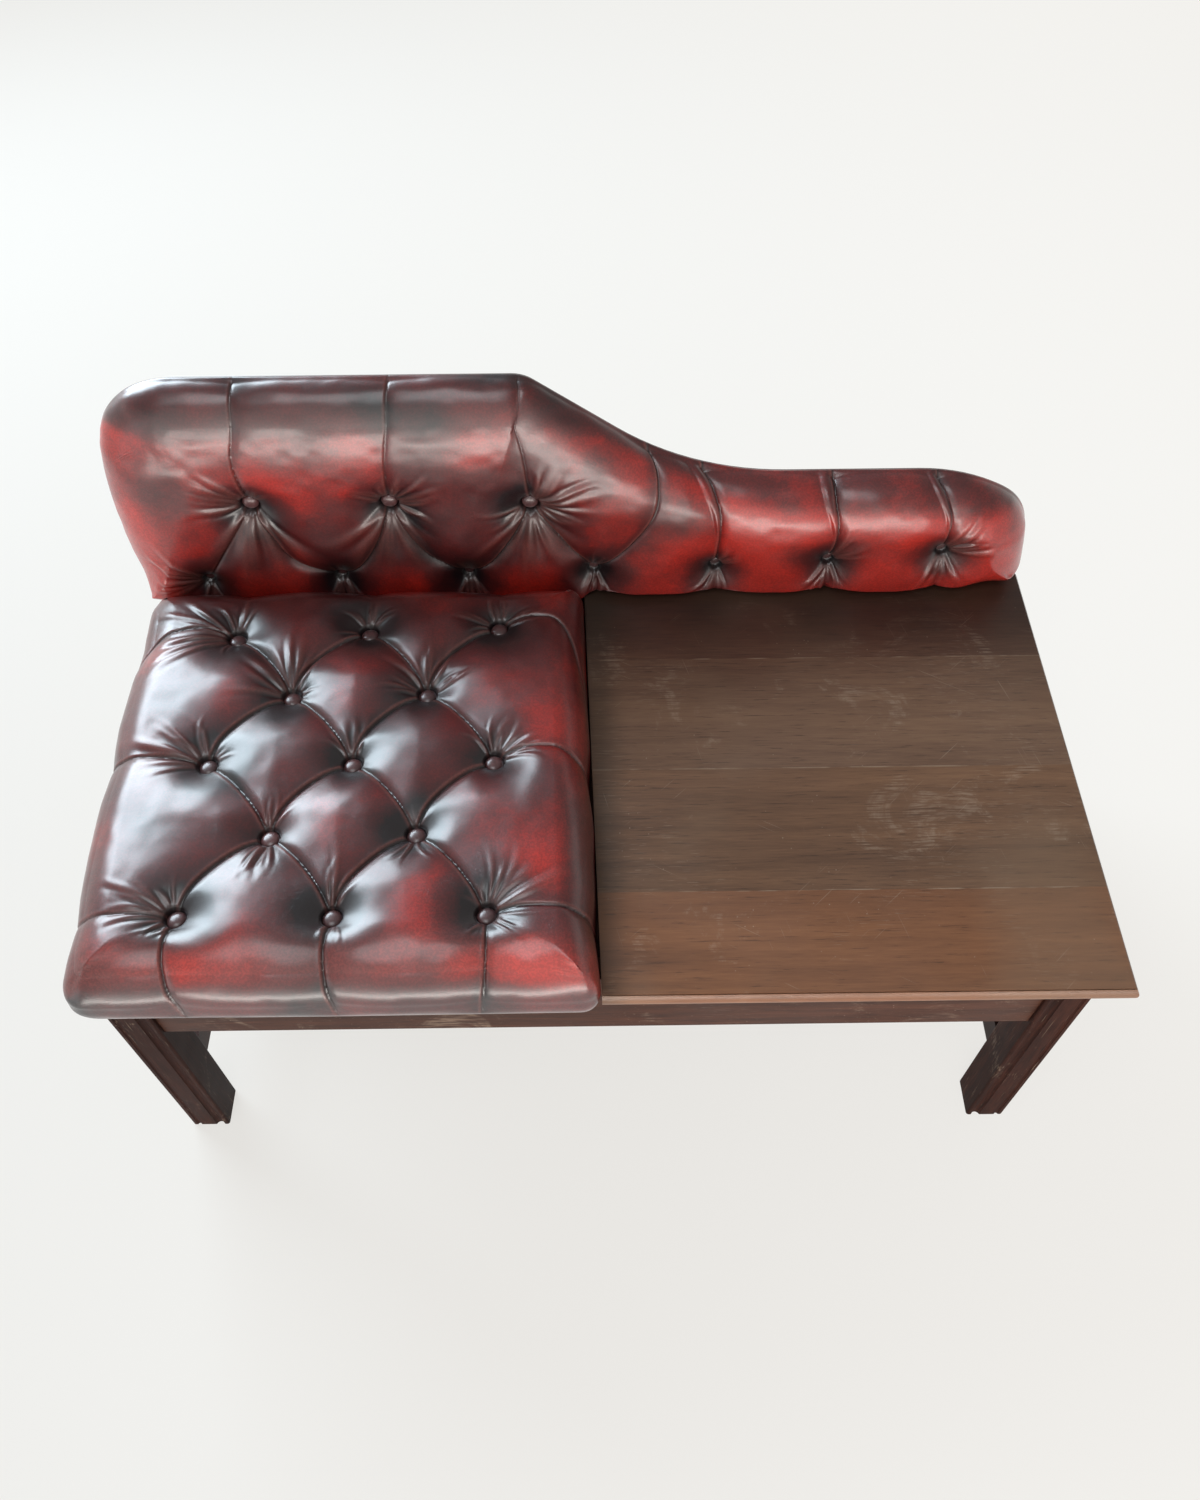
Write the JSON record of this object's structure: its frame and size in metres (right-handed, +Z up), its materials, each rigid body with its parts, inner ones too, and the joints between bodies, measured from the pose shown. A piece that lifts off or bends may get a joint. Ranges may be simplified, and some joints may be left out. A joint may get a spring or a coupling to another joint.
{
  "type": "telephone bench",
  "caption": "Wooden bench with a deep-buttoned leather seat beside a flat table top, and a buttoned leather back that sweeps down from the seat to the table.",
  "frame": {"origin": "middle of the base of the overall box, on the floor", "axes": "+X to the table's end, along the bench; +Y from the seat's front to the back; +Z up"},
  "size_m": [0.983, 0.5421, 0.645],
  "materials": {
    "mahogany": "dark red-brown stain under a worn satin polish",
    "frame_wood": "unpolished hardwood",
    "plywood": "plain plywood",
    "oxblood_leather": "antiqued, hand-rubbed, glossy",
    "button_leather": "antiqued, glossy",
    "lining_leather": "plain, semi-gloss",
    "foam": "open-cell foam",
    "twine": "waxed linen",
    "dust_cloth": "plain woven cloth",
    "nail_brass": "antiqued",
    "screw_steel": "plain"
  },
  "bodies": {
    "root": {"leg_front_left": "mahogany", "leg_front_right": "mahogany", "leg_back_left": "mahogany", "leg_back_right": "mahogany", "front_rail": "mahogany", "back_rail": "mahogany", "side_rail_left": "mahogany", "side_rail_right": "mahogany", "stretcher_left": "mahogany", "stretcher_right": "mahogany", "cross_stretcher": "mahogany", "table_board_1": "mahogany", "table_board_2": "mahogany", "table_board_3": "mahogany", "table_board_4": "mahogany", "cross_rail": "frame_wood", "corner_block_front_left": "frame_wood", "corner_block_front_right": "frame_wood", "corner_block_back_left": "frame_wood", "corner_block_back_right": "frame_wood", "rail_block_seat_front": "frame_wood", "rail_block_seat_back": "frame_wood", "rail_block_table_front": "frame_wood", "rail_block_table_back": "frame_wood", "seat_board": "plywood", "back_board": "plywood", "seat_foam": "foam", "back_foam": "foam", "seat_cover": "oxblood_leather", "back_cover": "oxblood_leather", "seat_buttons": "button_leather", "back_buttons": "button_leather", "back_lining": "lining_leather", "seat_button_twines": "twine", "back_button_twines": "twine", "seat_dust_cover": "dust_cloth", "back_nails": "nail_brass", "seat_screws": "screw_steel", "table_screws": "screw_steel", "corner_block_screws": "screw_steel", "back_board_screws": "screw_steel"}
  },
  "joints": []
}
